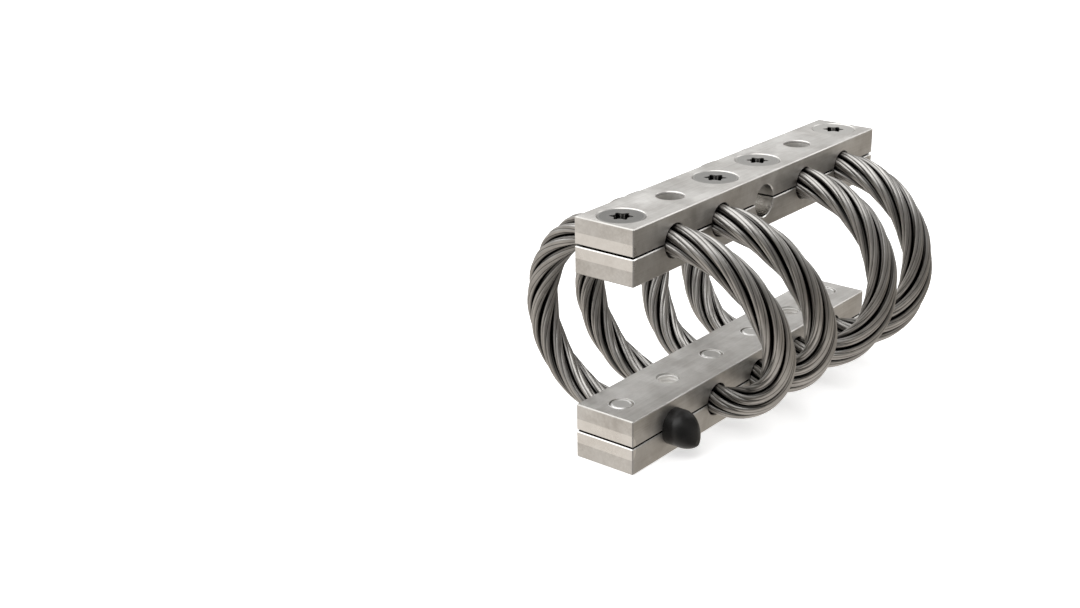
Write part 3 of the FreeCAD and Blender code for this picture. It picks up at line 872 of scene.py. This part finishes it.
# %% Rope finish
WIRE_DARK = (0.28, 0.27, 0.256, 1)
WIRE_LIGHT = (0.44, 0.428, 0.41, 1)
WIRE_LINE_TONE = (0.50, 0.49, 0.47, 1)
WIRE_FILM_TONE = (0.17, 0.161, 0.15, 1)
GROOVE_SHADE_TONE = (0.05, 0.047, 0.043, 1)
VALLEY_SHADE_TONE = (0.010, 0.009, 0.009, 1)
rope_finish, tree, shader = new_finish("drawn_stainless_wire", 0.4, 1.0)
straight = add(tree, "ShaderNodeAttribute", attribute_name="straight_place").outputs["Vector"]
crown = add(tree, "ShaderNodeAttribute", attribute_name="wire_crown").outputs["Fac"]
outward = add(tree, "ShaderNodeAttribute", attribute_name="outward").outputs["Fac"]
grain = place_group(tree, GRAIN, {"Place": straight, "Line Scale": (3200, 3200, 45), "Cloud Scale": 150.0})
film = place_group(tree, GRIME, {"Place": straight, "Patch Scale": 220.0, "Amount": 0.5})["Mask"]
tone = blend_colours(tree, ramp(tree, grain["Clouds"], *MIDDLE_RANGE), WIRE_DARK, WIRE_LIGHT)
tone = layer(tree, ramp(tree, grain["Lines"], 0.4, 0.8), 0.45, tone, WIRE_LINE_TONE)
tone = layer(tree, film, 0.5, tone, WIRE_FILM_TONE)
# painted shade in the grooves between wires
tone = blend_colours(tree, ramp(tree, crown, 0.0, 0.45), GROOVE_SHADE_TONE, tone)
# painted shade in the valleys between strands and on the core
tone = blend_colours(tree, ramp(tree, outward, -0.10, 0.62), VALLEY_SHADE_TONE, tone)
tree.links.new(tone, shader.inputs["Base Color"])
set_roughness(tree, shader, 0.25, ((grain["Lines"], 0.16), (film, 0.12)))
set_bump(tree, shader, grain["Lines"], 0.5, 0.00008)
for piece in strands + [core]:
    piece.data.materials.append(rope_finish)
print(rope_finish.name, "on", len(strands) + 1, "pieces")

# %% [markdown]
# ## Rubber caps
#
# The caps keep the rope's cut ends from fraying and scratching. They are moulded black rubber, which
# is never quite black or quite even: the skin is a little glossy, with a fine pebbled surface, and
# light dust shows on it more than on anything else.

# %% Cap finish
RUBBER_DARK = (0.002, 0.002, 0.002, 1)
RUBBER_LIGHT = (0.006, 0.0055, 0.0055, 1)
DUST_TONE = (0.04, 0.037, 0.035, 1)
cap_finish, tree, shader = new_finish("moulded_black_rubber", 0.5, 0.0, Specular_IOR_Level=0.4)
place = add(tree, "ShaderNodeTexCoord").outputs["Object"]
skin = place_group(tree, GRAIN, {"Place": place, "Line Scale": (1800, 1800, 1800), "Cloud Scale": 260.0})
dust = place_group(tree, GRIME, {"Place": place, "Patch Scale": 240.0, "Amount": 0.35})["Mask"]
tone = blend_colours(tree, ramp(tree, skin["Clouds"], *MIDDLE_RANGE), RUBBER_DARK, RUBBER_LIGHT)
tone = layer(tree, dust, 0.25, tone, DUST_TONE)
tree.links.new(tone, shader.inputs["Base Color"])
set_roughness(tree, shader, 0.26, ((skin["Clouds"], 0.14), (dust, 0.2)))
set_bump(tree, shader, skin["Lines"], 0.3, 0.00008)
for name in ("start_cap", "finish_cap"):
    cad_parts[name].data.materials.clear()
    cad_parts[name].data.materials.append(cap_finish)
print(cap_finish.name, "on 2 caps")

# %% [markdown]
# ## Floor and light
#
# The photograph is a studio picture, cut out on white. Its metal still mirrors the studio that it
# stood in: bright above, behind and at the near end, and dim on the side of the caps, where the
# plates' long sides are three times darker than their ends. The wires that face the photographer
# are darker still, and the ones that look down on the table are bright.
#
# A white floor and a white world would light every side alike, so the world here has two looks. The
# camera sees it white, and the object is lit by a soft slope from dim to bright, a bright table and
# one dark corner. The floor is pale and plain, and it is kept out of the metal's mirror for the same
# reason. It glows a little, so that it looks as white as the world behind it.

# %% Floor
FLOOR_RADIUS = 4.0
FLOOR_GLOW = 0.65
floor_mesh = bmesh.new()
bmesh.ops.create_circle(floor_mesh, cap_ends=True, segments=96, radius=FLOOR_RADIUS)
floor_data = bpy.data.meshes.new("floor")
floor_mesh.to_mesh(floor_data)
floor_mesh.free()
floor = bpy.data.objects.new("floor", floor_data)
bpy.context.scene.collection.objects.link(floor)
floor_finish, tree, shader = new_finish("pale_floor", 0.6, 0.0, Emission_Strength=FLOOR_GLOW)
place = add(tree, "ShaderNodeTexCoord").outputs["Object"]
soft = add(tree, "ShaderNodeTexNoise", {"Vector": place, "Scale": 3.0}).outputs["Fac"]
pale = blend_colours(tree, soft, (0.86, 0.86, 0.86, 1), (0.88, 0.88, 0.88, 1))
tree.links.new(pale, shader.inputs["Base Color"])
tree.links.new(pale, shader.inputs["Emission Color"])
floor_data.materials.append(floor_finish)
floor.visible_glossy = False
print("floor", len(floor_data.polygons), "face")

# %% [markdown]
# Two lamps help the world: a large one above, for soft light on the upper faces, and a small weak
# one at the far end, for the light on the upper edges.

# %% Lights
LAMP_AIM = (0, 0, 0.03)


def soft_light(name, place, width, height, power):
    """A lamp with a face of this size, turned towards the object."""
    lamp = bpy.data.lights.new(name, "AREA")
    lamp.shape = "RECTANGLE"
    lamp.size, lamp.size_y = width, height
    lamp.energy = power
    holder = bpy.data.objects.new(name, lamp)
    holder.location = place
    holder.rotation_euler = (Vector(LAMP_AIM) - Vector(place)).to_track_quat("-Z", "Y").to_euler()
    bpy.context.scene.collection.objects.link(holder)


soft_light("top_light", (-0.2, 0.25, 0.8), 1.6, 1.2, 10.0)
soft_light("edge_light", (0.57, -0.29, 0.48), 0.3, 0.3, 0.5)
print("two lamps")

# %% [markdown]
# The world's colour depends on the direction in which it is seen. How far that direction leans to
# the bright side gives the slope from dim to bright, its height tells walls from table, and how far
# it turns to the dark corner darkens that one place.

# %% World
BRIGHT_SIDE = (-0.3, 0.8, 0.3)
BRIGHT_SLOPE = (-0.75, 0.45)
WALL_HEIGHT = (-0.4, 0.4)
TABLE_HEIGHT = (-0.5, -0.95)
DARK_CORNER = (-0.62, -0.78, 0.0)
CORNER_EDGE = (0.45, 0.95)
world = bpy.data.worlds.new("studio")
bpy.context.scene.world = world
world.use_nodes = True
tree = world.node_tree
direction = add(tree, "ShaderNodeTexCoord").outputs["Generated"]
lean, turned = [
    add(tree, "ShaderNodeVectorMath", {0: direction, 1: side}, operation="DOT_PRODUCT").outputs["Value"]
    for side in (BRIGHT_SIDE, DARK_CORNER)]
level = parts_of(tree, direction)["Z"]
height = ramp(tree, level, *WALL_HEIGHT)
dim = blend_colours(tree, height, (0.52, 0.476, 0.42, 1), (0.44, 0.432, 0.422, 1))
bright = blend_colours(tree, height, (0.94, 0.878, 0.81, 1), (0.82, 0.82, 0.82, 1))
walls = blend_colours(tree, ramp(tree, lean, *BRIGHT_SLOPE), dim, bright)
tabled = blend_colours(tree, ramp(tree, level, *TABLE_HEIGHT), walls, (0.95, 0.9, 0.85, 1))
studio = blend_colours(tree, ramp(tree, turned, *CORNER_EDGE), tabled, (0.25, 0.24, 0.23, 1))
seen = add(tree, "ShaderNodeLightPath").outputs["Is Camera Ray"]
backdrop = blend_colours(tree, seen, studio, (1.0, 1.0, 1.0, 1))
tree.links.new(backdrop, tree.nodes["Background"].inputs["Color"])
bpy.context.scene.view_settings.view_transform = "Standard"
print("world bright towards", BRIGHT_SIDE)
